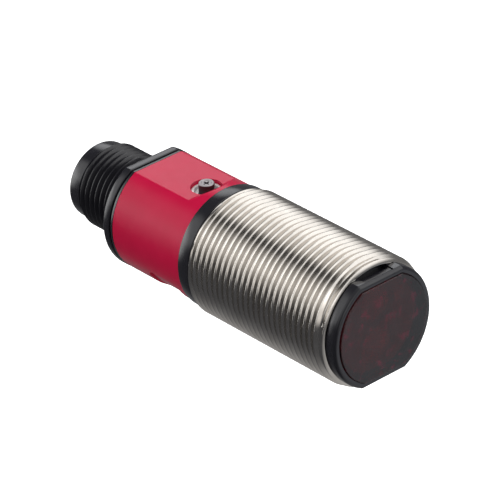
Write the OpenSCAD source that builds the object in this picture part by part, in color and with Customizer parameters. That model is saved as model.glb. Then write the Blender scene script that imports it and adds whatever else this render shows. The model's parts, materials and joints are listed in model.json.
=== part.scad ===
// Cylindrical photoelectric sensor with an M18 threaded sleeve and an M12 plug connector.
// X is the sensing axis and points out of the lens. Z points up through the sensitivity adjuster.
// The origin is on the axis, halfway along the M18 thread. All sizes are in millimetres.

/* [Threaded sleeve] */
// Outer diameter of the sleeve's thread
sleeve_d = 18; // [17.9:0.05:18.1]
// Length of the sleeve
sleeve_len = 26; // [24:1:40]
// Thread pitch of the sleeve and of the connector
pitch = 1; // [0.9:0.05:1]
// Inner diameter of the sleeve
sleeve_bore_d = 15.4; // [15.3:0.05:15.5]

/* [Front end] */
// Outer diameter of the front cap
cap_d = 16.66; // [16.5:0.01:16.8]
// Distance across the cap's top and bottom flats
cap_flats = 14.96; // [14.6:0.02:15.2]
// Height of the cap in front of the sleeve
cap_height = 1.7; // [1.5:0.1:2.5]
// Diameter of the tinted lens cover
cover_d = 14.9; // [14.6:0.05:15]
// Distance across the lens cover's flats
cover_flats = 13.2; // [13:0.05:13.4]
// How far the lens cover stands proud of the cap
cover_proud = 0.2; // [0.1:0.05:0.4]
// Diameter of each of the two lenses
lens_d = 5.8; // [5.4:0.1:5.9]

/* [Rear housing] */
// Width of the dark ring between the sleeve and the rear housing
ring_width = 2; // [1.5:0.1:3]
// Outer diameter of that ring
ring_d = 17.3; // [17:0.05:17.6]
// Outer diameter of the rear housing
housing_d = 16.9; // [16.8:0.05:17.1]
// Length of the rear housing
housing_len = 13.5; // [13:0.1:15]
// Distance across the rear housing's top and bottom flats
housing_flats = 14.88; // [14.6:0.02:15.2]
// Distance from the front of the housing to the level part of those flats
flat_setback = 2.6; // [2.6:0.1:3]
// Angle at which a flat's front end ramps up to the full round
flat_ramp_angle = 30.5; // [30:0.5:60]

/* [Adjuster] */
// Distance from the front of the rear housing to the adjuster's axis
adjuster_setback = 3.64; // [3.6:0.02:4]
// Diameter of the adjuster hole in the rear housing
adjuster_hole_d = 4.3; // [4.2:0.05:4.5]
// Diameter of the adjuster screw
screw_d = 2.14; // [2:0.02:2.3]
// Height of the screw head above the axis
screw_top = 8.1; // [7.8:0.05:8.3]

/* [Connector] */
// Outer diameter of the connector thread
m12_d = 12; // [11.9:0.05:12.1]
// Length of the connector behind its flange
m12_len = 10.9; // [10.5:0.1:12]
// Diameter of the smooth collar at the end of the connector
m12_collar_d = 11; // [10.8:0.05:11.1]
// Inner diameter of the connector
m12_bore_d = 8.4; // [8.3:0.05:8.5]
// Diameter of a contact pin
contact_d = 1; // [0.9:0.02:1]
// Diameter of the circle that the contact pins stand on
contact_circle_d = 5.66; // [5.6:0.02:5.7]

/* [Hidden] */
$fn = 72;

// Gap between curved faces that fit into each other
fit = 0.05;
// Overrun of a cutting shape past the face that it cuts
over = 1;

// Thread form: the depth and the flats at crest and root follow the ISO metric profile
thread_depth = 0.6134 * pitch;
crest_half = pitch / 16;
root_half = pitch / 8;
flank_half = pitch / 2 - root_half;

// Sleeve
sleeve_r = sleeve_d / 2;
bore_r = sleeve_bore_d / 2;
x_front = sleeve_len / 2;
x_rear = -sleeve_len / 2;
sleeve_crests = floor(sleeve_len / pitch) - 1;
seat_r = 8.1;
seat_depth = 1;
edge_r = sleeve_r - 0.15;
edge_len = 0.25;
edge_root = 0.5;

// Front cap and lens cover
cap_r = cap_d / 2;
cap_face = x_front + cap_height;
cap_edge = 0.45;
cap_bore_r = 6.5;
snout_len = 5;
collar_back = 0.05;
slot_len = 1.27;
slot_half_width = 2.45;
slot_depth = 0.6;
slot_gap = 0.12;
tongue_ramp = 0.3;
tongue_height = 0.38;
tongue_fall = 0.14;
cover_r = cover_d / 2;
cover_face = cap_face + cover_proud;
cover_thick = 1.2;
cover_back = cover_face - cover_thick;
cover_edge = 0.12;
front_seal_x = x_front - 3;
front_seal_r = 7.32;
front_seal_cord = 0.31;
front_groove_r = 7;
front_groove_half = 0.45;

// Optics
lens_r = lens_d / 2;
lens_z = 3.05;
lens_rim = 0.6;
lens_ball_r = 6;
lens_back = cover_back - 1.4;
channel_r = 2.6;
carrier_r = 6.4;
carrier_face = cover_back - 0.1;
flange_back = x_front - snout_len - 1.6;
flange_front = x_front - snout_len - fit;
flange_r = 7.6;
board_thick = 1;
optics_board_r = 7.45;
optics_board_flats = 13;
led_size = 3;
led_height = 0.9;
led_dome_r = 0.85;
diode_size = 2.6;
diode_height = 0.9;
die_size = 1.5;
die_height = 0.1;
shield_r = 2.4;
shield_wall = 0.2;
shield_height = 1.9;
shield_window_r = 1.1;

// Ring and liner
ring_r = ring_d / 2;
ring_back = x_rear - ring_width;
ring_edge = 0.15;
liner_r = bore_r - fit;
liner_bore_r = 6.9;
liner_front = x_rear + 5;
liner_tail = 1.2;
liner_tail_r = 7.75;
rail_inner = 5.9;
rail_half_height = 1.3;

// Rear housing
housing_r = housing_d / 2;
housing_back = ring_back - housing_len;
housing_bore_r = 6.6;
flat_front = ring_back - flat_setback;
window_angle = 135;
window_depth = 0.29;
window_rear = ring_back - 7.8;
window_front = ring_back - 1.7;
window_half_width = 2.9;
window_corner = 1.4;
guide_x = (window_rear + window_front) / 2;
guide_r = 1;
guide_inner = 3.2;
guide_outer = 7.35;

// Rear cap
lip_width = 0.4;
groove_width = 0.3;
groove_depth = 0.35;
cap_snout_len = 3;
cap_snout_r = housing_bore_r - fit;
rear_bore_r = 5.2;
lip_back = housing_back - lip_width;
rear_cap_back = lip_back - groove_width;
rear_seal_x = housing_back + 1.5;
rear_seal_r = 6.2;
rear_seal_cord = 0.37;
rear_groove_r = 5.8;
rear_groove_half = 0.4;

// Connector
flange_thick = 1.25;
flange_disc_r = 8.5;
flange_disc_flats = housing_flats + 0.1;
flange_edge = 0.2;
shell_front = rear_cap_back + 2;
shell_flange_back = rear_cap_back - flange_thick;
shell_end = shell_flange_back - m12_len;
shell_spigot_r = rear_bore_r - fit;
m12_r = m12_d / 2;
m12_root_r = m12_r - thread_depth;
m12_bore_r = m12_bore_d / 2;
m12_collar_r = m12_collar_d / 2;
m12_collar_len = 2.2;
m12_collar_edge = 0.35;
m12_crests = 8;
first_crest = shell_end + m12_collar_len + 0.45;
insert_r = m12_bore_r - 0.03;
insert_face = shell_end + 8;
insert_front = shell_front + 1;
insert_shoulder_r = 5.1;
key_angle = 45;
key_half_width = 0.5;
key_inner = 3.6;
key_setback = 1;
contact_r = contact_d / 2;
contact_gap = 0.02;
contact_circle_r = contact_circle_d / 2;
contact_tip = shell_end + 1.4;
contact_tip_len = 0.3;
contact_tip_r = 0.25;
tail_board_back = insert_front + 1;
tail_board_r = 6.3;
contact_front = tail_board_back + board_thick + 0.1;

// Main board
main_back = tail_board_back + board_thick + 0.2;
main_front = flange_back - board_thick - 0.2;
main_half_width = 6.3;
main_top = board_thick / 2;

// Components on the main board, measured from its front or rear edge
signal_x = main_front - 6;
signal_size = 6;
signal_height = 1;
driver_x = signal_x - 7.5;
driver_len = 4.9;
driver_width = 3.9;
driver_height = 1.5;
regulator_x = driver_x;
regulator_size = 3;
regulator_height = 1.1;
capacitor_x = signal_x;
capacitor_r = 2;
capacitor_len = 5;
leg_width = 0.3;
leg_reach = 0.7;
leg_height = 0.25;
link_pins = 6;
link_step = 1.27;
link_pin = 0.4;
link_arm = 1.1;
status_size = 1.6;
status_height = 0.8;
status_y = 2;

// Adjuster and potentiometer
adjuster_x = ring_back - adjuster_setback;
hole_r = adjuster_hole_d / 2;
screw_r = screw_d / 2;
bush_top = housing_flats / 2 - 0.44;
bush_shoulder_r = 2.6;
bush_shoulder_top = 6;
bush_bottom = 5;
bush_bore_r = screw_r + fit;
seal_groove_r = 1.6;
seal_groove_bottom = 5.5;
seal_groove_top = 6.1;
adjuster_seal_r = 1.38;
adjuster_seal_cord = 0.19;
base_len = 4.2;
base_width = 4.6;
base_top = 2.9;
well_r = 1.66;
well_floor = 2.4;
wiper_r = 1.6;
wiper_bottom = 2.45;
wiper_top = 3.3;
wiper_slot = 2.85;
blade_bottom = 2.9;
blade_len = 1.6;
blade_thick = 0.45;
blade_gap = 0.04;
shaft_bottom = 3.5;
stop_r = 1.45;
stop_bottom = 4.3;
stop_top = 4.85;
head_edge = 0.12;
recess_len = 1.3;
recess_width = 0.3;
recess_depth = 0.4;

function thread_points(first, count, r) =
    [for (i = [0:count - 1], p = [[-flank_half, -thread_depth], [-crest_half, 0],
        [crest_half, 0], [flank_half, -thread_depth]]) [first + i * pitch + p[0], r + p[1]]];

// A solid turned about the X axis from a list of [x, radius] points
module turned(points) {
    rotate([0, 90, 0])
        rotate_extrude()
            polygon([for (p = points) [p[1], p[0]]]);
}

// A round bar along X from x0 to x1
module bar(x0, x1, r) {
    translate([x0, 0, 0])
        rotate([0, 90, 0])
            cylinder(h = x1 - x0, r = r);
}

// The slab between two faces across Z, for cutting flats
module slab(x0, x1, across) {
    translate([x0, -20, -across / 2])
        cube([x1 - x0, 40, across]);
}

// An O-ring about the X axis
module o_ring(x, ring, cord) {
    translate([x, 0, 0])
        rotate([0, 90, 0])
            rotate_extrude()
                translate([ring, 0])
                    circle(r = cord);
}

// A block centred on x and y that stands on the height z
module block(x, y, z, size) {
    translate([x - size[0] / 2, y - size[1] / 2, z])
        cube(size);
}

// Rows of legs on both long sides of a chip, with count legs a side
module chip_legs(x, count, step, half_width) {
    for (side = [-1, 1], i = [0:count - 1])
        block(x + (i - (count - 1) / 2) * step, side * (half_width + leg_reach / 2), main_top,
            [leg_width, leg_reach, leg_height]);
}

module lens_cover() {
    color([0.16, 0.05, 0.07])
        intersection() {
            turned([[cover_back, 0], [cover_back, cover_r], [cover_face - cover_edge, cover_r],
                [cover_face, cover_r - cover_edge], [cover_face, 0]]);
            slab(cover_back - over, cover_face + over, cover_flats);
        }
}

// A slab along the whole width of the cap, from its outline in X and Z
module cap_wide(half_width, outline) {
    rotate([90, 0, 0])
        linear_extrude(height = 2 * half_width, center = true)
            polygon(outline);
}

// The catch tongue in the cap's slot: it rises from the rear and falls a little to the front
module slot_tongue() {
    slot_floor = cap_flats / 2 - slot_depth;
    tongue_front = x_front + slot_len - slot_gap;
    cap_wide(slot_half_width - slot_gap, [[x_front, slot_floor - fit], [x_front, slot_floor],
        [x_front + tongue_ramp, slot_floor + tongue_height],
        [tongue_front, slot_floor + tongue_height - tongue_fall],
        [tongue_front, slot_floor - fit]]);
}

module front_cap() {
    color([0.13, 0.13, 0.14])
        union() {
            cap_frame();
            slot_tongue();
        }
}

module cap_frame() {
    difference() {
        union() {
            intersection() {
                turned([[x_front, 0], [x_front, cap_r], [cap_face - cap_edge, cap_r],
                    [cap_face, cap_r - cap_edge], [cap_face, 0]]);
                cap_wide(cap_d, [[x_front, -cap_flats / 2], [cap_face - cap_edge, -cap_flats / 2],
                    [cap_face, cap_edge - cap_flats / 2], [cap_face, cap_flats / 2 - cap_edge],
                    [cap_face - cap_edge, cap_flats / 2], [x_front, cap_flats / 2]]);
            }
            bar(x_front - seat_depth + fit, x_front - collar_back, seat_r - fit);
            bar(x_front - snout_len, x_front + fit, bore_r - fit);
        }
        intersection() {
            bar(cover_back, cap_face + over, cover_r + fit);
            slab(cover_back, cap_face + over, cover_flats + 2 * fit);
        }
        bar(x_front - snout_len - over, cap_face, cap_bore_r);
        difference() {
            bar(front_seal_x - front_groove_half, front_seal_x + front_groove_half, bore_r);
            bar(front_seal_x - over, front_seal_x + over, front_groove_r);
        }
        translate([x_front, -slot_half_width, cap_flats / 2 - slot_depth])
            cube([slot_len, 2 * slot_half_width, over]);
    }
}

module front_seal() {
    color([0.08, 0.08, 0.08])
        o_ring(front_seal_x, front_seal_r, front_seal_cord);
}

module threaded_sleeve() {
    first = -(sleeve_crests - 1) / 2 * pitch;
    root_r = sleeve_r - thread_depth;
    color([0.78, 0.76, 0.72])
        turned(concat(
            [[x_rear, bore_r], [x_rear, root_r], [x_rear + edge_len, edge_r],
                [x_rear + edge_root, root_r]],
            thread_points(first, sleeve_crests, sleeve_r),
            [[x_front - edge_root, root_r], [x_front - edge_len, edge_r], [x_front, seat_r],
                [x_front - seat_depth, seat_r], [x_front - seat_depth, bore_r]]));
}

module liner_ring() {
    color([0.15, 0.15, 0.16])
        union() {
            turned([[ring_back - liner_tail, liner_bore_r], [ring_back - liner_tail, liner_tail_r],
                [ring_back, liner_tail_r], [ring_back, ring_r - ring_edge],
                [ring_back + ring_edge, ring_r], [x_rear - ring_edge, ring_r],
                [x_rear, ring_r - ring_edge], [x_rear, liner_r], [liner_front, liner_r],
                [liner_front, liner_bore_r]]);
            for (side = [-1, 1])
                intersection() {
                    difference() {
                        translate([ring_back - liner_tail, -liner_r, -rail_half_height])
                            cube([liner_front - ring_back + liner_tail, 2 * liner_r,
                                2 * rail_half_height]);
                        translate([ring_back - liner_tail - over, -main_half_width - fit,
                            -main_top - fit])
                            cube([sleeve_len, 2 * (main_half_width + fit), board_thick + 2 * fit]);
                    }
                    translate([ring_back - liner_tail, side > 0 ? rail_inner : -liner_r,
                        -rail_half_height])
                        cube([sleeve_len, liner_r - rail_inner, 2 * rail_half_height]);
                    bar(ring_back - liner_tail, liner_front, liner_bore_r + fit);
                }
        }
}

// What is cut away above one flat: level at first, then a ramp up to the full round
module flat_cutter() {
    rise = housing_r + over - housing_flats / 2;
    rotate([90, 0, 0])
        linear_extrude(height = housing_d, center = true)
            polygon([[housing_back - over, housing_flats / 2], [flat_front, housing_flats / 2],
                [flat_front + rise / tan(flat_ramp_angle), housing_r + over],
                [housing_back - over, housing_r + over]]);
}

// What is cut away for a light window: a rounded rectangle with a floor concentric to the housing
module window_cutter() {
    inset = window_half_width - window_corner;
    difference() {
        translate([0, 0, guide_outer])
            linear_extrude(height = housing_r)
                union() {
                    translate([window_rear + window_corner, -window_half_width])
                        square([window_front - window_rear - 2 * window_corner,
                            2 * window_half_width]);
                    translate([window_rear, -inset])
                        square([window_front - window_rear, 2 * inset]);
                    for (x = [window_rear + window_corner, window_front - window_corner],
                        side = [-1, 1])
                        translate([x, side * inset])
                            circle(r = window_corner);
                }
        bar(window_rear - over, window_front + over, housing_r - window_depth);
    }
}

module rear_housing() {
    color([0.78, 0.1, 0.2])
        difference() {
            bar(housing_back, ring_back, housing_r);
            bar(housing_back - over, ring_back + over, housing_bore_r);
            bar(ring_back - liner_tail - fit, ring_back + over, liner_tail_r + fit);
            flat_cutter();
            mirror([0, 0, 1])
                flat_cutter();
            translate([adjuster_x, 0, 0])
                cylinder(h = housing_r + over, r = hole_r);
            for (side = [-1, 1])
                rotate([side * window_angle, 0, 0]) {
                    window_cutter();
                    translate([guide_x, 0, 0])
                        cylinder(h = guide_outer + fit, r = guide_r + fit);
                }
        }
}

module rear_cap() {
    color([0.13, 0.13, 0.14])
        difference() {
            union() {
                intersection() {
                    bar(lip_back, housing_back, housing_r);
                    slab(lip_back - over, housing_back + over, housing_flats);
                }
                intersection() {
                    bar(rear_cap_back, lip_back + fit, housing_r - groove_depth);
                    slab(rear_cap_back - over, lip_back + over, housing_flats - 2 * groove_depth);
                }
                turned([[housing_back - fit, 0], [housing_back - fit, cap_snout_r],
                    [rear_seal_x - rear_groove_half, cap_snout_r],
                    [rear_seal_x - rear_groove_half, rear_groove_r],
                    [rear_seal_x + rear_groove_half, rear_groove_r],
                    [rear_seal_x + rear_groove_half, cap_snout_r],
                    [housing_back + cap_snout_len, cap_snout_r], [housing_back + cap_snout_len, 0]]);
            }
            bar(rear_cap_back - over, housing_back + cap_snout_len + over, rear_bore_r);
        }
}

module rear_seal() {
    color([0.08, 0.08, 0.08])
        o_ring(rear_seal_x, rear_seal_r, rear_seal_cord);
}

module connector_shell() {
    color([0.12, 0.12, 0.13])
        difference() {
            union() {
                intersection() {
                    turned([[shell_flange_back, 0], [shell_flange_back, flange_disc_r - flange_edge],
                        [shell_flange_back + flange_edge, flange_disc_r],
                        [rear_cap_back - flange_edge, flange_disc_r],
                        [rear_cap_back, flange_disc_r - flange_edge], [rear_cap_back, 0]]);
                    slab(shell_flange_back - over, rear_cap_back + over, flange_disc_flats);
                }
                turned(concat(
                    [[shell_end, 0], [shell_end, m12_collar_r - m12_collar_edge],
                        [shell_end + m12_collar_edge, m12_collar_r],
                        [shell_end + m12_collar_len - fit, m12_collar_r],
                        [shell_end + m12_collar_len, m12_root_r]],
                    thread_points(first_crest, m12_crests, m12_r),
                    [[shell_flange_back + fit, m12_root_r], [shell_flange_back + fit, shell_spigot_r],
                        [shell_front, shell_spigot_r], [shell_front, 0]]));
            }
            difference() {
                bar(shell_end - over, shell_front + over, m12_bore_r);
                rotate([key_angle, 0, 0])
                    translate([shell_end + key_setback, -key_half_width, key_inner])
                        cube([insert_face - shell_end - key_setback, 2 * key_half_width, over]);
            }
        }
}

module contact_insert() {
    color([0.1, 0.1, 0.11])
        difference() {
            turned([[insert_face, 0], [insert_face, insert_r], [shell_front, insert_r],
                [shell_front, insert_shoulder_r], [insert_front, insert_shoulder_r],
                [insert_front, 0]]);
            for (i = [0:3])
                rotate([90 * i, 0, 0])
                    translate([0, 0, contact_circle_r])
                        bar(insert_face - over, insert_front + over, contact_r + contact_gap);
        }
}

// One contact pin; the index counts quarter turns about the axis from the top
module contact_pin(index) {
    color([0.83, 0.66, 0.3])
        rotate([90 * index, 0, 0])
            translate([0, 0, contact_circle_r])
                turned([[contact_tip, 0], [contact_tip, contact_tip_r],
                    [contact_tip + contact_tip_len, contact_r], [contact_front, contact_r],
                    [contact_front, 0]]);
}

module optics_carrier() {
    color([0.1, 0.1, 0.1])
        difference() {
            union() {
                bar(flange_front - fit, carrier_face, carrier_r);
                bar(flange_back, flange_front, flange_r);
            }
            for (side = [-1, 1])
                translate([0, 0, side * lens_z]) {
                    bar(flange_back - over, lens_back + fit, channel_r);
                    bar(lens_back, carrier_face + over, lens_r + fit);
                }
        }
}

// A plano-convex lens with its domed side to the front
module dome_lens(z) {
    dome_centre = lens_back + lens_rim - sqrt(lens_ball_r ^ 2 - lens_r ^ 2);
    translate([0, 0, z])
        intersection() {
            bar(lens_back, cover_back, lens_r);
            translate([dome_centre, 0, 0])
                sphere(r = lens_ball_r);
        }
}

module emitter_lens() {
    color([0.9, 0.6, 0.62])
        dome_lens(lens_z);
}

module receiver_lens() {
    color([0.85, 0.65, 0.68])
        dome_lens(-lens_z);
}

module optics_board() {
    color([0.1, 0.35, 0.2])
        intersection() {
            bar(flange_back - board_thick, flange_back, optics_board_r);
            slab(flange_back - board_thick - over, flange_back + over, optics_board_flats);
        }
}

module emitter_led() {
    color([0.9, 0.85, 0.82])
        union() {
            translate([flange_back, -led_size / 2, lens_z - led_size / 2])
                cube([led_height, led_size, led_size]);
            translate([flange_back + led_height, 0, lens_z])
                sphere(r = led_dome_r);
        }
}

module receiver_diode() {
    color([0.15, 0.12, 0.12])
        union() {
            translate([flange_back, -diode_size / 2, -lens_z - diode_size / 2])
                cube([diode_height, diode_size, diode_size]);
            translate([flange_back + diode_height, -die_size / 2, -lens_z - die_size / 2])
                cube([die_height, die_size, die_size]);
        }
}

module receiver_shield() {
    color([0.8, 0.8, 0.78])
        translate([0, 0, -lens_z])
            difference() {
                bar(flange_back, flange_back + shield_height, shield_r);
                bar(flange_back - over, flange_back + shield_height - shield_wall,
                    shield_r - shield_wall);
                bar(flange_back, flange_back + shield_height + over, shield_window_r);
            }
}

module board_link() {
    color([0.83, 0.66, 0.3])
        for (i = [0:link_pins - 1])
            translate([0, (i - (link_pins - 1) / 2) * link_step - link_pin / 2, main_top]) {
                translate([main_front - link_arm, 0, 0])
                    cube([flange_back - board_thick - main_front + link_arm, link_pin, link_pin]);
                translate([flange_back - board_thick - link_pin, 0, 0])
                    cube([link_pin, link_pin, link_arm]);
            }
}

module main_board() {
    color([0.08, 0.4, 0.22])
        translate([main_back, -main_half_width, -main_top])
            cube([main_front - main_back, 2 * main_half_width, board_thick]);
}

module signal_chip() {
    color([0.13, 0.13, 0.14])
        union() {
            block(signal_x, 0, main_top + 0.1, [signal_size, signal_size, signal_height]);
            chip_legs(signal_x, 8, 0.65, signal_size / 2 - 0.1);
        }
}

module output_driver() {
    color([0.14, 0.14, 0.15])
        union() {
            block(driver_x, 0, main_top + 0.1, [driver_len, driver_width, driver_height]);
            chip_legs(driver_x, 4, 1.27, driver_width / 2 - 0.1);
        }
}

module voltage_regulator() {
    color([0.14, 0.14, 0.15])
        translate([regulator_x, 0, -main_top - regulator_height])
            translate([-regulator_size / 2, -regulator_size / 2, 0])
                cube([regulator_size, regulator_size, regulator_height]);
}

module smoothing_capacitor() {
    color([0.75, 0.6, 0.2])
        translate([0, 0, -main_top - capacitor_r])
            bar(capacitor_x - capacitor_len / 2, capacitor_x + capacitor_len / 2, capacitor_r);
}

module connector_board() {
    color([0.08, 0.4, 0.22])
        difference() {
            bar(tail_board_back, tail_board_back + board_thick, tail_board_r);
            for (i = [0:3])
                rotate([90 * i, 0, 0])
                    translate([0, 0, contact_circle_r])
                        bar(tail_board_back - over, tail_board_back + board_thick + over,
                            contact_r + contact_gap);
        }
}

// A status light under the main board; side is -1 for the left and 1 for the right
module status_led(side) {
    block(guide_x, side * status_y, -main_top - status_height,
        [status_size, status_size, status_height]);
}

module status_led_left() {
    color([0.95, 0.75, 0.2])
        status_led(-1);
}

module status_led_right() {
    color([0.3, 0.8, 0.3])
        status_led(1);
}

// A clear rod that carries a status light's glow to the housing wall
module light_guide(side) {
    color([0.92, 0.92, 0.94])
        rotate([-side * window_angle, 0, 0])
            translate([guide_x, 0, guide_inner])
                cylinder(h = guide_outer - guide_inner, r = guide_r);
}

module potentiometer_base() {
    color([0.2, 0.3, 0.6])
        difference() {
            block(adjuster_x, 0, main_top, [base_len, base_width, base_top - main_top]);
            translate([adjuster_x, 0, well_floor])
                cylinder(h = over, r = well_r);
        }
}

module potentiometer_wiper() {
    color([0.9, 0.88, 0.8])
        difference() {
            translate([adjuster_x, 0, wiper_bottom])
                cylinder(h = wiper_top - wiper_bottom, r = wiper_r);
            block(adjuster_x, 0, wiper_slot,
                [blade_len + 2 * blade_gap, blade_thick + 2 * blade_gap, over]);
        }
}

module adjuster_bush() {
    color([0.93, 0.92, 0.9])
        translate([adjuster_x, 0, 0])
            rotate_extrude()
                polygon([[bush_bore_r, bush_bottom], [bush_shoulder_r, bush_bottom],
                    [bush_shoulder_r, bush_shoulder_top], [hole_r - fit, bush_shoulder_top],
                    [hole_r - fit, bush_top], [bush_bore_r, bush_top],
                    [bush_bore_r, seal_groove_top], [seal_groove_r, seal_groove_top],
                    [seal_groove_r, seal_groove_bottom], [bush_bore_r, seal_groove_bottom]]);
}

module adjuster_seal() {
    color([0.1, 0.1, 0.1])
        translate([adjuster_x, 0, (seal_groove_bottom + seal_groove_top) / 2])
            rotate_extrude()
                translate([adjuster_seal_r, 0])
                    circle(r = adjuster_seal_cord);
}

module adjuster_screw() {
    color([0.8, 0.79, 0.77])
        difference() {
            union() {
                translate([adjuster_x, 0, 0])
                    rotate_extrude()
                        polygon([[0, shaft_bottom], [screw_r, shaft_bottom], [screw_r, stop_bottom],
                            [stop_r, stop_bottom], [stop_r, stop_top], [screw_r, stop_top],
                            [screw_r, screw_top - head_edge], [screw_r - head_edge, screw_top],
                            [0, screw_top]]);
                block(adjuster_x, 0, blade_bottom,
                    [blade_len, blade_thick, shaft_bottom - blade_bottom + fit]);
            }
            for (turn = [0, 90])
                translate([adjuster_x, 0, 0])
                    rotate([0, 0, turn])
                        block(0, 0, screw_top - recess_depth, [recess_len, recess_width, over]);
        }
}

lens_cover();
front_cap();
front_seal();
threaded_sleeve();
liner_ring();
rear_housing();
rear_cap();
rear_seal();
connector_shell();
contact_insert();
contact_pin(0);  // contact_pin_1
contact_pin(1);  // contact_pin_2
contact_pin(2);  // contact_pin_3
contact_pin(3);  // contact_pin_4
optics_carrier();
emitter_lens();
receiver_lens();
optics_board();
emitter_led();
receiver_diode();
receiver_shield();
board_link();
main_board();
signal_chip();
output_driver();
voltage_regulator();
smoothing_capacitor();
connector_board();
status_led_left();
status_led_right();
light_guide(-1);  // light_guide_left
light_guide(1);  // light_guide_right
potentiometer_base();
potentiometer_wiper();
adjuster_bush();
adjuster_seal();
adjuster_screw();
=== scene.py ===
"""The looks of a cylindrical photoelectric sensor: threaded sleeve, lens cover, red housing, plug.

X is the sensing axis and points out of the lens, and Z points up through the adjuster.
Lengths are in millimetres, and solid() turns them into metres.
"""

import json
import math

import bmesh
import bpy
from mathutils import Matrix, Vector


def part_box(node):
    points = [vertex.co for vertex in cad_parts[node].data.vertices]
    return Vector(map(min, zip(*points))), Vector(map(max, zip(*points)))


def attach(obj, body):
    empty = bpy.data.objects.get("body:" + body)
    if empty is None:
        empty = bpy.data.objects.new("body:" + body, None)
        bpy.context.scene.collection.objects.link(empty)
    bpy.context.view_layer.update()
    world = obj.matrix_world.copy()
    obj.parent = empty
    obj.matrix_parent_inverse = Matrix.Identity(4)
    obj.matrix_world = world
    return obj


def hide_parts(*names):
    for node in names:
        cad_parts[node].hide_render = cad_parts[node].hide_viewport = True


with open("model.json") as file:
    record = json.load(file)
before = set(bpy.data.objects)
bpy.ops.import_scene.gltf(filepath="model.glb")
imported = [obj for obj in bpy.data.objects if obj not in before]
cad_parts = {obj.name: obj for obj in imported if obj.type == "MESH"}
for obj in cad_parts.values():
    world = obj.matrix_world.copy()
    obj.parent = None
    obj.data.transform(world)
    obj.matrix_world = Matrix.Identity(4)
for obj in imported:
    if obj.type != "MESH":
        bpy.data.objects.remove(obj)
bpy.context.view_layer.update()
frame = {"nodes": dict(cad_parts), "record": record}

MM = 0.001
TAU = 2 * math.pi


# ---------------------------------------------------------------- sizes, most of them from the frame

def reach(node):
    """The first X, the last X and the half width across Y of a CAD node."""
    low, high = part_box(node)
    return low.x / MM, high.x / MM, high.y / MM


SLEEVE_REAR, SLEEVE_FRONT, SLEEVE_R = reach("threaded_sleeve")
CAP_BACK, CAP_FACE, CAP_R = reach("front_cap")
COVER_BACK, COVER_FACE, COVER_R = reach("lens_cover")
RING_TAIL, RING_NOSE, RING_R = reach("liner_ring")
HOUSING_REAR, HOUSING_FRONT, HOUSING_R = reach("rear_housing")
REAR_CAP_BACK, REAR_CAP_NOSE, REAR_CAP_R = reach("rear_cap")
SHELL_END, SHELL_NOSE, FLANGE_R = reach("connector_shell")
INSERT_FACE, INSERT_NOSE, INSERT_SHOULDER_R = reach("contact_insert")
SCREW_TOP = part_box("adjuster_screw")[1].z / MM
BUSH_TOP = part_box("adjuster_bush")[1].z / MM
BUSH_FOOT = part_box("adjuster_bush")[0].z / MM
ADJUSTER_X = sum(reach("adjuster_bush")[:2]) / 2
HOUSING_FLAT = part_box("rear_cap")[1].z / MM
FLANGE_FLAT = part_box("connector_shell")[1].z / MM
COVER_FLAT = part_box("lens_cover")[1].z / MM
CAP_FLAT = COVER_FLAT + 0.88
CAP_ROUND = 0.5
SLOT_FRONT = SLEEVE_FRONT + 1.27
SLOT_REAR = SLEEVE_FRONT - 0.9
SLOT_FLOOR = CAP_FLAT - 0.6
SLOT_HALF_WIDTH = 2.45
TONGUE_HALF_WIDTH = 2.33

PITCH = 1.0
THREAD_DEPTH = 0.6134 * PITCH
SLEEVE_ROOT = SLEEVE_R - THREAD_DEPTH
SLEEVE_BORE = 7.7
SEAT_R = 8.1
M12_R = 6.0
M12_ROOT = M12_R - THREAD_DEPTH
M12_BORE = 4.2
COLLAR_R = 5.5
COLLAR_LENGTH = 2.2
FLANGE_BACK = -30.45
HOUSING_BORE = 6.6
RAMP_START = HOUSING_FRONT - 2.6
RAMP_SLOPE = math.tan(math.radians(30.5))
HOLE_R = 2.15
WINDOW_ANGLE = 135
WINDOW_REAR = HOUSING_FRONT - 7.8
WINDOW_FRONT = HOUSING_FRONT - 1.7
WINDOW_HALF_WIDTH = 2.9
WINDOW_CORNER = 1.4
WINDOW_FLOOR = HOUSING_R - 0.29
SCREW_R = 1.07
PIN_CIRCLE = 2.83
PIN_R = 0.5
PIN_WELL_R = 0.72

SHARP = 32


# ---------------------------------------------------------------- mesh helpers

def solid(name, verts, faces, sharp=SHARP):
    """A mesh object from points in millimetres, with doubled points merged and its edges shaded."""
    mesh = bpy.data.meshes.new(name)
    mesh.from_pydata([Vector(v) * MM for v in verts], [], faces)
    work = bmesh.new()
    work.from_mesh(mesh)
    bmesh.ops.remove_doubles(work, verts=work.verts, dist=1e-7)
    bmesh.ops.dissolve_degenerate(work, edges=work.edges, dist=1e-8)
    bmesh.ops.recalc_face_normals(work, faces=work.faces)
    work.to_mesh(mesh)
    work.free()
    made = bpy.data.objects.new(name, mesh)
    bpy.context.scene.collection.objects.link(made)
    shade(made, sharp)
    return made


def shade(piece, sharp=SHARP):
    """Smooth shading, with the edges that bend more than sharp degrees kept sharp."""
    piece.data.shade_smooth()
    piece.data.set_sharp_from_angle(angle=math.radians(sharp))


def rounded(points, steps=4):
    """A profile whose corners are arcs. Each point is (a, b), or (a, b, radius) to round it."""
    out = []
    for i, point in enumerate(points):
        here = Vector(point[:2])
        if len(point) < 3:
            out.append(tuple(here))
            continue
        before = (Vector(points[i - 1][:2]) - here).normalized()
        after = (Vector(points[(i + 1) % len(points)][:2]) - here).normalized()
        half = before.angle(after) / 2
        centre = here + (before + after).normalized() * point[2] / math.sin(half)
        start = here + before * point[2] / math.tan(half) - centre
        end = here + after * point[2] / math.tan(half) - centre
        sweep = start.angle(end)
        for k in range(steps + 1):
            t = k / steps
            arm = (start * math.sin((1 - t) * sweep) + end * math.sin(t * sweep)) / math.sin(sweep)
            out.append(tuple(centre + arm))
    return out


def disc(r):
    """A round section."""
    return lambda turn: r


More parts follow.
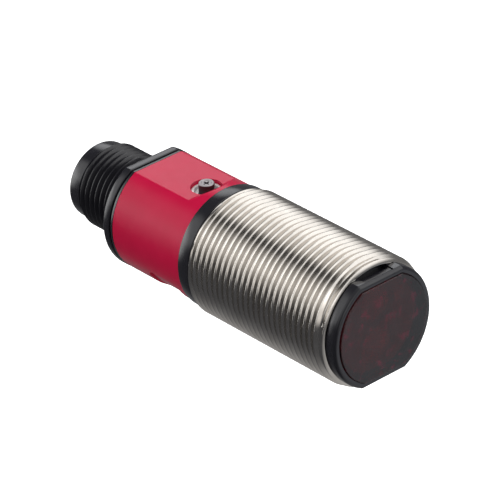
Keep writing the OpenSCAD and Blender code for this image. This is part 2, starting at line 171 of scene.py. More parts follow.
def flatted(r, half, corner=0.2):
    """A round section with flats across Z at half either side, and rounded corners between."""
    if half >= r:
        return disc(r)
    rise = half - corner
    run = math.sqrt((r - corner) ** 2 - rise ** 2)
    on_flat = math.atan2(half, run)
    on_round = math.atan2(rise, run)

    def radius(turn):
        quarter = abs(math.asin(math.sin(turn)))
        if quarter <= on_round:
            return r
        if quarter >= on_flat:
            return half / math.sin(quarter)
        along = run * math.cos(quarter) + rise * math.sin(quarter)
        return along + math.sqrt(along ** 2 - run ** 2 - rise ** 2 + corner ** 2)

    return radius


def turns(count, corner=None, spread=4, fine=0.5):
    """Angles about X, from +Y towards +Z, with fine steps around the corners of a flatted section."""
    out = {round(360 * k / count, 4) for k in range(count)}
    if corner is not None:
        for middle in (corner, 180 - corner, 180 + corner, 360 - corner):
            near = {a for a in out if abs(a - middle) < spread}
            out -= near
            steps = round(2 * spread / fine)
            out |= {round(middle - spread + k * fine, 4) for k in range(steps + 1)}
    return [math.radians(a) for a in sorted(out)]


def corner_angle(r, half):
    """Where a flat meets the round, in degrees above the horizontal."""
    return math.degrees(math.asin(half / r))


def around(x, r, turn):
    """The point at radius r about the X axis."""
    return (x, r * math.cos(turn), r * math.sin(turn))


def skin(name, rings, closed=False):
    """A mesh over rings of points. A closed one joins the last ring to the first, others get end faces."""
    n = len(rings[0])
    faces = []
    for i in range(len(rings) if closed else len(rings) - 1):
        j = (i + 1) % len(rings)
        for k in range(n):
            m = (k + 1) % n
            faces.append((i * n + k, i * n + m, j * n + m, j * n + k))
    if not closed:
        last = n * (len(rings) - 1)
        faces.append(tuple(range(n)))
        faces.append(tuple(range(last + n - 1, last - 1, -1)))
    return solid(name, [point for ring in rings for point in ring], faces)


def loft(name, stations, angles, closed=False):
    """A skin over sections along X, each given as (x, section)."""
    return skin(name, [[around(x, section(a), a) for a in angles] for x, section in stations], closed)


def lathe(name, profile, count, closed=True):
    """A turned piece about the X axis, from a profile of (x, radius)."""
    return loft(name, [(x, disc(r)) for x, r in profile], turns(count), closed)


def upright(name, profile, count=96):
    """A turned piece about the adjuster's axis, from a closed profile of (radius, z)."""
    around_z = [TAU * k / count for k in range(count)]
    rings = [[(ADJUSTER_X + r * math.cos(turn), r * math.sin(turn), z) for turn in around_z]
             for r, z in profile]
    return skin(name, rings, closed=True)


def block(name, rear, front, half_width, corner, low, high, steps=4):
    """A block from rear to front in X and from low to high in Z, with its four upright edges round."""
    middle = (rear + front) / 2
    half_length = (front - rear) / 2
    outline = []
    for quarter, (along, across) in enumerate(((1, 1), (-1, 1), (-1, -1), (1, -1))):
        for k in range(steps + 1):
            turn = TAU * (quarter + k / steps) / 4
            outline.append((middle + along * (half_length - corner) + corner * math.cos(turn),
                            across * (half_width - corner) + corner * math.sin(turn)))
    return skin(name, [[(x, y, z) for x, y in outline] for z in (low, high)])


def combine(piece, tool, operation="DIFFERENCE"):
    """Cuts the tool from the piece, or joins or intersects it, and removes the tool."""
    cut = piece.modifiers.new("cut", "BOOLEAN")
    cut.object = tool
    cut.operation = operation
    cut.solver = "EXACT"
    seen = piece.evaluated_get(bpy.context.evaluated_depsgraph_get())
    mesh = bpy.data.meshes.new_from_object(seen)
    piece.modifiers.clear()
    old = piece.data
    piece.data = mesh
    bpy.data.meshes.remove(old)
    bpy.data.objects.remove(tool)
    shade(piece)


def soften(piece, chosen, width):
    """Chamfers the sharp edges that chosen(a, b) accepts, given both ends in millimetres."""
    least_bend = math.radians(40)
    work = bmesh.new()
    work.from_mesh(piece.data)
    edges = [
        e for e in work.edges
        if e.is_manifold and e.calc_face_angle() > least_bend
        and chosen(e.verts[0].co / MM, e.verts[1].co / MM)
    ]
    bmesh.ops.bevel(work, geom=edges, offset=width * MM, segments=1, affect="EDGES",
                    clamp_overlap=True)
    work.to_mesh(piece.data)
    work.free()
    shade(piece)


# ---------------------------------------------------------------- screw threads

def thread_drop(off, crest_round):
    """How far below the crest a thread lies, off millimetres along X from the middle of the crest."""
    crest_half = PITCH / 20
    root_round = 0.03
    flank = (abs(off) - crest_half) * math.tan(math.radians(60))
    above = (flank + math.sqrt(flank ** 2 + crest_round ** 2)) / 2
    over = above - THREAD_DEPTH
    return above - (over + math.sqrt(over ** 2 + root_round ** 2)) / 2 + root_round / 8


# Steps across one pitch, as shares of it, close together where the crest and the root turn.
HALF_STEPS = (0.5, 0.43, 0.415, 0.40, 0.38, 0.3, 0.15, 0.075, 0.06, 0.05, 0.04, 0.02)
THREAD_STEPS = [-s * PITCH for s in HALF_STEPS] + [0.0] + [s * PITCH for s in HALF_STEPS[:0:-1]]


def threaded(name, angles, start, end, crest_r, crest_x, crest_round, limit, ahead, behind):
    """A piece with a right-handed thread from start to end, kept under limit(x).

    At turn 0 one crest stands at crest_x. ahead and behind are the (x, section) stations before and
    after the thread, and close the piece.
    """
    first = math.floor(start - crest_x) - 2
    last = math.ceil(end - crest_x) + 2
    per_turn = len(THREAD_STEPS)
    rows = [crest_x + PITCH * k + step for k in range(first, last) for step in THREAD_STEPS]
    drops = [min(thread_drop(step, crest_round), THREAD_DEPTH) for step in THREAD_STEPS]
    columns = []
    for turn in angles:
        column = [around(x, section(turn), turn) for x, section in ahead]
        for i, row in enumerate(rows):
            x = row + PITCH * turn / TAU
            inside = start < x < end
            x = min(max(x, start), end)
            r = min(crest_r - drops[i % per_turn], limit(x)) if inside else limit(x)
            column.append(around(x, r, turn))
        column += [around(x, section(turn), turn) for x, section in behind]
        columns.append(column)
    height = len(columns[0])
    lead = len(ahead)
    tail = lead + len(rows)
    verts = [point for column in columns for point in column]
    faces = []
    for k in range(len(columns)):
        seam = k == len(columns) - 1
        m = 0 if seam else k + 1
        for i in range(height):
            j = (i + 1) % height
            shift = per_turn if seam and lead <= i and j < tail and i + 1 == j else 0
            if shift and j + shift >= tail:
                continue
            faces.append((k * height + i, m * height + i + shift,
                          m * height + j + shift, k * height + j))
    return solid(name, verts, faces, sharp=50)


# ---------------------------------------------------------------- pieces

def make_sleeve():
    """The M18 sleeve: a thread with a chamfered rear end, and a ring in front of a relief groove."""
    relief = SLEEVE_FRONT - 0.5
    ring_edge = SLEEVE_FRONT - 0.25
    seat_floor = SLEEVE_FRONT - 1
    rear_slope = 1.2
    front_slope = 2.2

    def limit(x):
        rear = SLEEVE_ROOT + (x - SLEEVE_REAR) * rear_slope
        front = SLEEVE_ROOT + (relief - 0.12 - x) * front_slope
        return max(SLEEVE_ROOT, min(SLEEVE_R, rear, front))

    ring = rounded([(relief, SLEEVE_ROOT), (relief + 0.06, SLEEVE_ROOT, 0.04),
                    (ring_edge, SLEEVE_R - 0.15, 0.05), (SLEEVE_FRONT, SEAT_R, 0.02),
                    (seat_floor, SEAT_R), (seat_floor, SLEEVE_BORE),
                    (SLEEVE_REAR, SLEEVE_BORE)])
    return threaded("sleeve_thread", turns(120), SLEEVE_REAR, relief, SLEEVE_R, 0, 0.012, limit,
                    [], [(x, disc(r)) for x, r in ring])


def make_front_cap():
    """The black frame of the lens cover, with two flats and a slot in the top one."""
    angles = turns(144, corner_angle(CAP_R, CAP_FLAT), spread=5)
    outside = rounded([(SLEEVE_FRONT, 0, 0.03), (CAP_FACE, 0, CAP_ROUND), (CAP_FACE, 1)], 8)
    rows = [(x, flatted(CAP_R - inset, CAP_FLAT - inset, 0.22)) for x, inset in outside[:-1]]
    pocket_r = COVER_R + 0.05
    pocket_flat = COVER_FLAT + 0.05
    for x, grow in ((CAP_FACE, 0.04), (CAP_FACE - 0.04, 0), (COVER_BACK, 0)):
        rows.append((x, flatted(pocket_r + grow, pocket_flat + grow, 0.35)))
    collar_back = SLEEVE_FRONT - 0.95
    collar_r = SEAT_R - 0.05
    snout_r = SLEEVE_BORE - 0.05
    bore = 6.5
    inside = rounded([(COVER_BACK, bore), (CAP_BACK, bore), (CAP_BACK, snout_r, 0.1),
                      (collar_back, snout_r), (collar_back, collar_r, 0.05),
                      (SLEEVE_FRONT - 0.05, collar_r), (SLEEVE_FRONT, collar_r - 0.6)])
    rows += [(x, disc(r)) for x, r in inside]
    cap = loft("front_frame", rows, angles, closed=True)
    combine(cap, block("slot", SLOT_REAR, SLOT_FRONT, SLOT_HALF_WIDTH, 0.12, SLOT_FLOOR, CAP_FLAT + 2))

    def on_slot(point):
        return (point.z > CAP_FLAT - 0.05 and abs(point.y) < SLOT_HALF_WIDTH + 0.05
                and SLEEVE_FRONT + 0.05 < point.x < SLOT_FRONT + 0.02)

    soften(cap, lambda a, b: on_slot(a) and on_slot(b), 0.05)
    combine(cap, make_tongue(), "UNION")
    return cap


def make_tongue():
    """The catch tongue in the cap's slot: it rises steeply at the rear, and is all but level in front."""
    rear = SLEEVE_FRONT + 0.2
    front = SLOT_FRONT - 0.15
    foot = SLOT_FLOOR - 0.05
    side = rounded([(rear, foot), (rear, SLOT_FLOOR), (rear + 0.15, SLOT_FLOOR + 0.47, 0.06),
                    (front, SLOT_FLOOR + 0.43, 0.03), (front, foot)])
    return skin("tongue", [[(x, y, z) for x, z in side] for y in (-TONGUE_HALF_WIDTH, TONGUE_HALF_WIDTH)])


def make_lens_cover():
    """The tinted front plate, polished, with a small round along its rim."""
    angles = turns(144, corner_angle(COVER_R, COVER_FLAT), spread=5)
    rim = rounded([(COVER_BACK, 0.05), (COVER_BACK, 0, 0.04), (COVER_FACE, 0, 0.11),
                   (COVER_FACE, 0.3)])
    rows = [(x, flatted(COVER_R - inset, COVER_FLAT - inset, 0.32)) for x, inset in rim]
    return loft("front_window", rows, angles)


def make_ring():
    """The dark ring between the sleeve and the housing, the shoulder of the liner inside."""
    bore = 6.9
    tail_r = 7.75
    nose_r = SLEEVE_BORE - 0.05
    profile = rounded([(RING_TAIL, bore), (RING_TAIL, tail_r), (HOUSING_FRONT, tail_r),
                       (HOUSING_FRONT, RING_R, 0.14), (SLEEVE_REAR, RING_R, 0.1),
                       (SLEEVE_REAR, nose_r), (RING_NOSE, nose_r), (RING_NOSE, bore)])
    return lathe("shoulder_ring", profile, 180)


def flat_height(x):
    """How high the housing's flat stands at x: level, then a ramp up to the full round."""
    ease = 0.05
    rise = (x - RAMP_START) * RAMP_SLOPE
    return HOUSING_FLAT + (rise + math.sqrt(rise ** 2 + ease ** 2)) / 2


def window_cutter(side):
    """The shallow rounded pocket of a light window, low on one side of the housing."""
    cutter = block("window_%s" % side, WINDOW_REAR, WINDOW_FRONT, WINDOW_HALF_WIDTH, WINDOW_CORNER,
                   WINDOW_FLOOR - 1.5, HOUSING_R + 1, steps=12)
    ends = (WINDOW_REAR - 1, WINDOW_FRONT + 1)
    combine(cutter, lathe("core", [(x, WINDOW_FLOOR) for x in ends], 360, closed=False))
    cutter.data.transform(Matrix.Rotation(side * math.radians(WINDOW_ANGLE), 4, "X"))
    return cutter


def make_housing():
    """The red housing: flats that ramp up to the round, the adjuster's hole and two light windows."""
    rear_chamfer = 0.06
    front_chamfer = 0.08
    bend = RAMP_START - 0.3
    steps = [HOUSING_REAR + rear_chamfer + k * (bend - HOUSING_REAR) / 6 for k in range(6)]
    steps += [bend + 0.1 * k for k in range(25)]
    steps += [HOUSING_FRONT - front_chamfer]
    rows = [(HOUSING_REAR, flatted(HOUSING_R - rear_chamfer, HOUSING_FLAT - rear_chamfer))]
    rows += [(x, flatted(HOUSING_R, flat_height(x), 0.22)) for x in steps]
    rows.append((HOUSING_FRONT, disc(HOUSING_R - front_chamfer)))
    seat_floor = RING_TAIL - 0.05
    seat_r = 7.8
    rows += [(x, disc(r)) for x, r in ((HOUSING_FRONT, seat_r), (seat_floor, seat_r),
                                       (seat_floor, HOUSING_BORE), (HOUSING_REAR, HOUSING_BORE))]
    shell = loft("red_shell", rows, turns(480), closed=True)
    combine(shell, upright("hole", [(0, 5), (HOLE_R, 5), (HOLE_R, 10), (0, 10)]))
    for side in (-1, 1):
        combine(shell, window_cutter(side))

    def on_hole(point):
        return abs(math.hypot(point.x - ADJUSTER_X, point.y) - HOLE_R) < 0.01 and point.z > 7

    soften(shell, lambda a, b: on_hole(a) and on_hole(b) and abs(a.z - b.z) < 0.3, 0.09)
    return shell


def make_rear_cap():
    """The black end cap, seen as a thin lip and a groove behind the red housing."""
    angles = turns(144, corner_angle(REAR_CAP_R, HOUSING_FLAT), spread=5)
    lip_back = HOUSING_REAR - 0.4
    bore = 5.2
    spigot_r = HOUSING_BORE - 0.05
    edge = rounded([(HOUSING_REAR, 0), (lip_back, 0, 0.1), (lip_back, 0.35, 0.03),
                    (REAR_CAP_BACK, 0.35), (REAR_CAP_BACK, 1)])
    rows = [(x, flatted(REAR_CAP_R - inset, HOUSING_FLAT - inset, 0.22)) for x, inset in edge[:-1]]
    rows += [(x, disc(r)) for x, r in ((REAR_CAP_BACK, bore), (REAR_CAP_NOSE, bore),
                                       (REAR_CAP_NOSE, spigot_r), (HOUSING_REAR - 0.02, spigot_r))]
    return loft("end_cap", rows, angles, closed=True)


def make_connector():
    """The plug shell: a smooth collar, the M12 thread, the flange with two flats, and the socket."""
    angles = turns(120, corner_angle(FLANGE_R, FLANGE_FLAT), spread=4, fine=0.8)
    collar_front = SHELL_END + COLLAR_LENGTH
    thread_start = collar_front + 0.05
    slope = 1.8
    spigot_r = 5.15

    def limit(x):
        rear = M12_ROOT + (x - thread_start - 0.05) * slope
        front = M12_ROOT + (FLANGE_BACK - 0.85 - x) * slope
        return max(M12_ROOT, min(M12_R, rear, front))

    mouth = rounded([(INSERT_FACE, M12_BORE), (SHELL_END, M12_BORE, 0.25), (SHELL_END, COLLAR_R, 0.5),
                     (collar_front, COLLAR_R, 0.06), (collar_front + 0.02, M12_ROOT)], 6)
    ahead = [(x, disc(r)) for x, r in mouth]
    behind = [(FLANGE_BACK - 0.12, disc(M12_ROOT)), (FLANGE_BACK, disc(M12_ROOT + 0.15))]
    edge = rounded([(FLANGE_BACK, 1), (FLANGE_BACK, 0, 0.28), (REAR_CAP_BACK, 0, 0.12),
                    (REAR_CAP_BACK, 1)])
    for x, inset in edge[1:-1]:
        behind.append((x, flatted(FLANGE_R - inset, FLANGE_FLAT - inset, 0.25)))
    behind += [(x, disc(r)) for x, r in ((REAR_CAP_BACK, spigot_r), (SHELL_NOSE, spigot_r),
                                         (SHELL_NOSE, M12_BORE))]
    return threaded("plug_shell", angles, thread_start, FLANGE_BACK - 0.13, M12_R,
                    collar_front + 0.45, 0.02, limit, ahead, behind)


def make_coding_rib():
    """The rib in the socket that codes the plug."""
    rib = block("coding_rib", SHELL_END + 1, INSERT_FACE, 0.5, 0.12, 3.6, M12_BORE + 0.1)
    rib.data.transform(Matrix.Rotation(math.radians(45), 4, "X"))
    return rib


def to_pin(piece, k):
    """Moves a piece from the axis to where contact pin k stands, k quarters round from the top."""
    turn = TAU * k / 4
    place = Vector((0, -PIN_CIRCLE * math.sin(turn), PIN_CIRCLE * math.cos(turn)))
    piece.data.transform(Matrix.Translation(place * MM))
    return piece


def make_insert():
    """The insulator in the plug, with a small well round each contact pin."""
    r = M12_BORE - 0.03
    well_floor = INSERT_FACE + 0.25
    profile = rounded([(INSERT_FACE, r - 0.3, 0.08), (INSERT_FACE + 0.25, r, 0.05), (SHELL_NOSE, r),
                       (SHELL_NOSE, INSERT_SHOULDER_R), (INSERT_NOSE, INSERT_SHOULDER_R)])
    insert = lathe("insulator", profile, 96, closed=False)
    for k in range(4):
        ends = (INSERT_FACE - 1, well_floor)
        well = lathe("well", [(x, PIN_WELL_R) for x in ends], 32, closed=False)
        combine(insert, to_pin(well, k))
    return insert


def make_pin(k):
    """One gold-plated contact pin with a rounded tip."""
    tip, root = reach("contact_pin_%d" % (k + 1))[:2]
    profile = rounded([(tip, 0.12), (tip, PIN_R, 0.34), (root, PIN_R, 0.1), (root, 0.12)], 6)
    return to_pin(lathe("pin_%d" % (k + 1), profile, 40, closed=False), k)


def make_bush():
    """The pale bush that the adjuster screw stands in."""
    bore = SCREW_R + 0.05
    outer = HOLE_R - 0.05
    dish = BUSH_TOP - 0.5
    foot_r = 2.6
    foot_top = 6
    profile = rounded([(bore, BUSH_FOOT), (foot_r, BUSH_FOOT), (foot_r, foot_top), (outer, foot_top),
                       (outer, BUSH_TOP, 0.16), (outer - 0.42, BUSH_TOP, 0.08),
                       (outer - 0.5, dish, 0.08), (bore, dish, 0.04)])
    return upright("adjuster_collar", profile)


def make_screw():
    """The adjuster screw: a turned head with a raised rim and a cross recess."""
    foot = 3.5
    dish = SCREW_TOP - 0.12
    collar_r, collar_low, collar_high = 1.45, 4.3, 4.85
    recess_floor = SCREW_TOP - 0.4
    profile = rounded([(0, foot), (SCREW_R, foot), (SCREW_R, collar_low), (collar_r, collar_low),
                       (collar_r, collar_high), (SCREW_R, collar_high), (SCREW_R, SCREW_TOP, 0.14),
                       (0.72, SCREW_TOP, 0.06), (0.6, dish, 0.06), (0, dish)])
    screw = upright("screw_head", profile)

    def bar(name, half_length, half_width, low, high):
        return block(name, ADJUSTER_X - half_length, ADJUSTER_X + half_length, half_width, 0.05,
                     low, high, steps=3)

    for half_length, half_width in ((0.5, 0.13), (0.13, 0.5)):
        combine(screw, bar("recess", half_length, half_width, recess_floor, SCREW_TOP + 1))
    combine(screw, bar("blade", 0.8, 0.225, 2.9, foot + 0.05), "UNION")
    return screw


# ---------------------------------------------------------------- materials

def add_node(tree, kind, inputs=(), **settings):
    """Adds a shader node, sets its options, and fills its inputs with values or links."""
    made = tree.nodes.new(kind)
    for key, value in settings.items():
        setattr(made, key, value)
    for key, value in dict(inputs).items():
        if isinstance(value, bpy.types.NodeSocket):
            tree.links.new(value, made.inputs[key])
        else:
            made.inputs[key].default_value = value
    return made


class Finish:
    """A procedural material on the Principled shader, in the piece's own coordinates."""

    def __init__(self, name, **constants):
        self.material = bpy.data.materials.new(name)
        self.material.use_nodes = True
        self.tree = self.material.node_tree
        self.shader = self.tree.nodes["Principled BSDF"]
        for socket, value in constants.items():
            self.shader.inputs[socket.replace("_", " ")].default_value = value
        self.place = self.tree.nodes.new("ShaderNodeTexCoord").outputs["Object"]

    def node(self, kind, inputs=(), **settings):
        """Adds a node to the material."""
        return add_node(self.tree, kind, inputs, **settings)

    def noise(self, size, detail=3, stretch=(1, 1, 1)):
        """Noise with features of that size in millimetres, drawn out along the axes by stretch."""
        scale = [1 / (size * MM * s) for s in stretch]
        moved = self.node("ShaderNodeVectorMath", {0: self.place, 1: scale}, operation="MULTIPLY")
        made = self.node("ShaderNodeTexNoise", {"Vector": moved.outputs[0], "Scale": 1.0,
                                                "Detail": detail, "Roughness": 0.55})
        return made.outputs["Fac"]

    def ranged(self, value, low, high, to_low, to_high):
        """Maps a value from one range to another, and keeps it there."""
        made = self.node("ShaderNodeMapRange", {"Value": value, "From Min": low, "From Max": high,
                                                "To Min": to_low, "To Max": to_high})
        return made.outputs["Result"]

    def blend(self, amount, first, second):
        """A colour between two. The first may be a link."""
        if isinstance(first, tuple):
            first = (*first, 1)
        colour_a, colour_b, colour_out = 6, 7, 2
        made = self.node("ShaderNodeMix", {"Factor": amount, colour_a: first, colour_b: (*second, 1)},
                         data_type="RGBA")
        return made.outputs[colour_out]

    def bump(self, height, depth, strength=1.0):
        """A bump map whose full height is depth in millimetres."""
        made = self.node("ShaderNodeBump", {"Height": height, "Distance": depth * MM,
                                            "Strength": strength})
        return made.outputs["Normal"]

    def wire(self, socket, value):
        """Links a value to a socket of the shader."""
        self.tree.links.new(value, self.shader.inputs[socket])


def moulded(name, colour, shade_colour, roughness, grain, depth, **constants):
    """Moulded plastic: a fine grain, and slight changes of colour and gloss."""
    made = Finish(name, **constants)
    cloud = made.noise(4.0, 2)
    fine = made.noise(grain, 3)
    tone = made.blend(made.ranged(cloud, 0.3, 0.7, 0, 1), colour, shade_colour)
    made.wire("Base Color", tone)
    made.wire("Roughness", made.ranged(made.noise(1.5, 3), 0.3, 0.7, roughness - 0.03, roughness + 0.03))
    made.wire("Normal", made.bump(fine, depth))
    return made.material


def turned_metal(name, colour, grime_and_shade, roughness, streak, side=None, **constants):
    """Machined metal: fine turning marks, a grime tone with painted shade in recesses, and painted shade
    on the sides that turn away from up if a side colour is given.
    """
    made = Finish(name, Metallic=1.0, **constants)
    marks = made.noise(streak, 4, (1, 60, 60))
    cloud = made.noise(2.5, 3)
    tone = made.blend(made.ranged(cloud, 0.3, 0.75, 0, 0.35), colour, grime_and_shade)
    # Painted shade: recesses found by pointiness are darkened towards the grime colour.
    hollow_shade = made.ranged(made.node("ShaderNodeNewGeometry").outputs["Pointiness"], 0.4, 0.48, 0.5, 0)
    tone = made.blend(hollow_shade, tone, grime_and_shade)
    # Painted shade: faces that turn away from up are blended to the dark side colour.
    if side is not None:
        normal = made.node("ShaderNodeNewGeometry").outputs["Normal"]
        facing = made.node("ShaderNodeSeparateXYZ", {0: normal})
        tone = made.blend(made.ranged(facing.outputs["Z"], 0.2, 0.6, 1, 0), tone, side)
    made.wire("Base Color", tone)
    made.wire("Roughness", made.ranged(marks, 0.3, 0.7, roughness - 0.04, roughness + 0.05))
    made.wire("Normal", made.bump(marks, 0.0012, 0.6))
    return made.material


def tinted_glass(name):
    """Dark red-tinted clear plastic: a polished skin with faint painted red glints in its colour, over a
    red filter.
    """
    made = Finish(name, IOR=1.49, Specular_IOR_Level=1.0, Coat_Weight=1.0, Coat_Roughness=0.03)
    made.wire("Roughness", made.ranged(made.noise(3.0, 2), 0.3, 0.7, 0.03, 0.06))
    made.wire("Normal", made.bump(made.noise(2.0, 1), 0.0004, 0.5))
    # Painted glints: sparse red blotches in the base colour stand in for reflections off the optics
    # inside.
    painted_glint = made.ranged(made.noise(1.3, 3), 0.58, 0.66, 0, 1)
    made.wire("Base Color", made.blend(painted_glint, (0.009, 0.0075, 0.011), (0.20, 0.006, 0.04)))
    clear = made.node("ShaderNodeBsdfTransparent", {"Color": (0.92, 0.03, 0.08, 1)})
    amount = made.ranged(made.noise(2.2, 2), 0.3, 0.7, 0.4, 0.45)
    both = made.node("ShaderNodeMixShader", {0: amount, 1: clear.outputs[0],
                                             2: made.shader.outputs[0]})
    out = made.tree.nodes["Material Output"]
    made.tree.links.new(both.outputs[0], out.inputs["Surface"])
    return made.material


def clear_resin(name):
    """Clear moulded plastic of the lenses and light guides."""
    made = Finish(name, Transmission_Weight=0.85, IOR=1.49)
    made.wire("Base Color", made.blend(made.noise(2.0, 2), (0.93, 0.88, 0.88), (0.86, 0.82, 0.84)))
    made.wire("Roughness", made.ranged(made.noise(1.0, 2), 0.3, 0.7, 0.03, 0.09))
    made.wire("Normal", made.bump(made.noise(1.2, 2), 0.0006, 0.5))
    return made.material


def board_green(name):
    """Green solder resist with copper tracks showing through faintly."""
    made = Finish(name)
    tracks = made.node("ShaderNodeTexVoronoi", {"Vector": made.place, "Scale": 900.0},
                       feature="DISTANCE_TO_EDGE")
    line = made.ranged(tracks.outputs["Distance"], 0.03, 0.08, 1, 0)
    made.wire("Base Color", made.blend(line, (0.012, 0.12, 0.05), (0.03, 0.2, 0.08)))
    made.wire("Roughness", made.ranged(made.noise(0.6, 3), 0.3, 0.7, 0.28, 0.42))
    made.wire("Normal", made.bump(line, 0.02, 0.5))
    return made.material


def make_materials():
    """Every finish, by the name of its slot in the record."""
    return {
        # The third colour of each metal is both its grime tone and the painted shade in its recesses.
        "nickel_plate": turned_metal("nickel_plate", (0.72, 0.685, 0.64), (0.42, 0.385, 0.34), 0.12, 0.02),
        # The steel screw's side colour is painted dark shade on the sides of its head.
        "steel_screw": turned_metal("steel_screw", (0.50, 0.47, 0.48), (0.3, 0.26, 0.27), 0.42, 0.05,
                                    side=(0.10, 0.07, 0.08)),
        "gold_contact": turned_metal("gold_contact", (0.86, 0.63, 0.28), (0.6, 0.42, 0.16), 0.2, 0.04),
        "red_plastic": moulded("red_plastic", (0.80, 0.011, 0.076), (0.75, 0.009, 0.068), 0.24,
                               0.12, 0.006, Specular_IOR_Level=0.21),
        "black_plastic": moulded("black_plastic", (0.019, 0.0185, 0.0235), (0.023, 0.0225, 0.028), 0.19,
                                 0.1, 0.004, Specular_IOR_Level=0.56),
        "rubber_seal": moulded("rubber_seal", (0.012, 0.012, 0.012), (0.018, 0.017, 0.016), 0.7,
                               0.05, 0.006),
        "chip_epoxy": moulded("chip_epoxy", (0.02, 0.02, 0.022), (0.028, 0.028, 0.03), 0.55,
                              0.04, 0.005),
        "tantalum_yellow": moulded("tantalum_yellow", (0.8, 0.5, 0.08), (0.72, 0.44, 0.07), 0.35,
                                   0.1, 0.003),
        "green_resin": moulded("green_resin", (0.2, 0.7, 0.22), (0.16, 0.62, 0.2), 0.25, 0.2, 0.001),
        "white_plastic": moulded("white_plastic", (0.93, 0.91, 0.90), (0.88, 0.86, 0.85), 0.2,
                                 0.06, 0.003, Specular_IOR_Level=1.0, Coat_Weight=1.0),
        "blue_plastic": moulded("blue_plastic", (0.03, 0.09, 0.35), (0.025, 0.075, 0.3), 0.45,
                                0.06, 0.004),
        "tinted_cover": tinted_glass("tinted_cover"),
        "clear_plastic": clear_resin("clear_plastic"),
        "circuit_board": board_green("circuit_board"),
    }


# ---------------------------------------------------------------- studio

WHITE = (1.0, 1.0, 1.0)

# Soft light by direction: where it stands, its full and its faded half angle in degrees,
# its strength and its colour.
SOFT_LIGHTS = (
    ((-0.66, -0.60, 0.44), 13, 27, 1.15, WHITE),
    ((-0.66, 0.52, 0.54), 7, 16, 2.0, (0.97, 0.98, 1.0)),
    ((0.73, 0.58, 0.37), 10, 30, 1.35, WHITE),
    ((0.965, 0.02, 0.26), 9, 22, 0.95, WHITE),
    ((0.97, -0.18, 0.04), 9, 18, 0.9, (1.0, 0.97, 0.94)),
    ((0.15, 0.36, 0.92), 16, 42, 1.25, WHITE),
    ((0.10, -0.76, 0.63), 16, 38, 0.72, WHITE),
    ((-0.90, -0.43, 0.05), 14, 24, 2.7, WHITE),
    ((0.66, 0.556, -0.50), 12, 24, 0.13, (0.8, 1.0, 1.25)),
)
# How strong the room, the wall behind and the floor are, and the share of the floor's light that is
# left towards the plug.
ROOM = 0.075
BACK_WALL = 0.1
FLOOR_LIGHT = 0.4
FAR_FLOOR = 0.4


def light_studio():
    """A dim room with soft lights in it, a pale wall behind, and light from the floor behind the object.

    The floor's light fades towards the camera and towards the plug.
    """
    world = bpy.data.worlds.new("studio")
    world.use_nodes = True
    bpy.context.scene.world = world
    tree = world.node_tree
    toward = tree.nodes.new("ShaderNodeTexCoord").outputs["Generated"]

    def add(kind, inputs, **settings):
        return add_node(tree, kind, inputs, **settings).outputs

    def product(first, second):
        return add("ShaderNodeMath", {0: first, 1: second}, operation="MULTIPLY")[0]

    def smooth(value, low, high, top=1.0, bottom=0.0):
        return add("ShaderNodeMapRange", {"Value": value, "From Min": low, "From Max": high,
                                          "To Min": bottom, "To Max": top},
                   interpolation_type="SMOOTHSTEP")["Result"]

    def scaled(colour, amount):
        return add("ShaderNodeVectorMath", {0: colour, "Scale": amount}, operation="SCALE")[0]

    parts = add("ShaderNodeSeparateXYZ", {0: toward})
    behind = smooth(parts["Y"], -0.32, 0.18)
    down = smooth(parts["Z"], -0.15, -0.4, FLOOR_LIGHT)
    up = smooth(parts["Z"], -0.4, -0.15)
    near = smooth(parts["X"], -0.7, 0.4, 1.0, FAR_FLOOR)
    floor = product(product(behind, near), down)
    wall = product(smooth(parts["Y"], 0.3, 0.7, BACK_WALL), up)
    total = scaled((0.95, 0.97, 1.05), ROOM)
    layers = [scaled(WHITE, wall), scaled(WHITE, floor)]
    for where, full, faded, strength, colour in SOFT_LIGHTS:
        facing = add("ShaderNodeVectorMath", {0: toward, 1: Vector(where).normalized()},
                     operation="DOT_PRODUCT")["Value"]
        glow = smooth(facing, math.cos(math.radians(faded)), math.cos(math.radians(full)), strength)
        layers.append(scaled(colour, glow))
    for layer in layers:
        total = add("ShaderNodeVectorMath", {0: total, 1: layer}, operation="ADD")[0]
    tree.links.new(total, tree.nodes["Background"].inputs["Color"])


def add_floor():
    """A pale floor, 0.3 m below the axis and 40 m wide, that glows evenly so that it shows white."""
    below = -0.3
    half = 20.0
    mesh = bpy.data.meshes.new("floor")
    mesh.from_pydata([(-half, -half, below), (half, -half, below), (half, half, below),
                      (-half, half, below)], [], [(0, 1, 2, 3)])
    floor = bpy.data.objects.new("floor", mesh)
    bpy.context.scene.collection.objects.link(floor)
    paint = bpy.data.materials.new("pale_floor")
    paint.use_nodes = True
    shader = paint.node_tree.nodes["Principled BSDF"]
    shader.inputs["Base Color"].default_value = (0.9, 0.9, 0.9, 1)
    shader.inputs["Emission Color"].default_value = (1, 1, 1, 1)
    shader.inputs["Emission Strength"].default_value = 1.0
    mesh.materials.append(paint)
    floor.visible_glossy = False
    floor.visible_diffuse = False
    floor.visible_transmission = False
    floor.visible_shadow = False


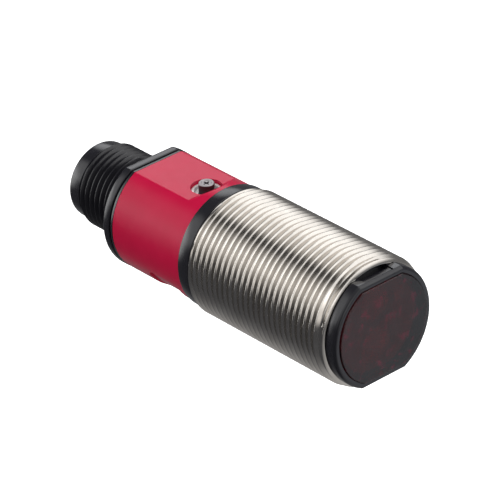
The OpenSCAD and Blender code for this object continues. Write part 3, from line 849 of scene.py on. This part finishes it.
def add_camera():
    """The camera in front of the lens, up and to the left of the axis, rolled a little."""
    azimuth, elevation, roll = (math.radians(a) for a in (50.0, 30.15, -2.97))
    distance = 0.4655
    target = Vector((-11.67, 0, 0)) * MM
    back = Vector((math.sin(azimuth) * math.cos(elevation), -math.cos(azimuth) * math.cos(elevation),
                   math.sin(elevation)))
    level = Vector((math.cos(azimuth), math.sin(azimuth), 0))
    above = back.cross(level)
    right = level * math.cos(roll) + above * math.sin(roll)
    up = above * math.cos(roll) - level * math.sin(roll)
    data = bpy.data.cameras.new("camera")
    data.sensor_width = 36
    data.lens = 256.95
    data.shift_x = 0.0112
    data.shift_y = 0.0092
    data.clip_start = 0.01
    data.clip_end = 50
    camera = bpy.data.objects.new("camera", data)
    turned = Matrix((right, up, back)).transposed().to_4x4()
    camera.matrix_world = Matrix.Translation(target + back * distance) @ turned
    bpy.context.scene.collection.objects.link(camera)
    bpy.context.scene.camera = camera


# ---------------------------------------------------------------- the object

def dress(piece, body, slot, *nodes):
    """Gives a new piece its body and its finish, and hides the CAD nodes that it stands for."""
    piece.data.materials.clear()
    piece.data.materials.append(materials[slot])
    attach(piece, body)
    if nodes:
        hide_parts(*nodes)


materials = make_materials()
slot_of = {part["node"]: part["material_slot"] for part in frame["record"]["subparts"]}
for node, carried in frame["nodes"].items():
    carried.data.materials.clear()
    carried.data.materials.append(materials[slot_of[node]])

dress(make_sleeve(), "housing", "nickel_plate", "threaded_sleeve")
dress(make_front_cap(), "housing", "black_plastic", "front_cap")
dress(make_lens_cover(), "housing", "tinted_cover", "lens_cover")
dress(make_ring(), "housing", "black_plastic", "liner_ring")
dress(make_housing(), "housing", "red_plastic", "rear_housing")
dress(make_rear_cap(), "housing", "black_plastic", "rear_cap")
dress(make_connector(), "housing", "black_plastic", "connector_shell")
dress(make_coding_rib(), "housing", "black_plastic")
dress(make_insert(), "housing", "black_plastic", "contact_insert")
for quarter in range(4):
    dress(make_pin(quarter), "housing", "gold_contact", "contact_pin_%d" % (quarter + 1))
dress(make_bush(), "housing", "white_plastic", "adjuster_bush")
dress(make_screw(), "adjuster", "steel_screw", "adjuster_screw")

light_studio()
add_floor()
add_camera()
bpy.context.scene.view_settings.view_transform = "Standard"

bpy.context.view_layer.update()
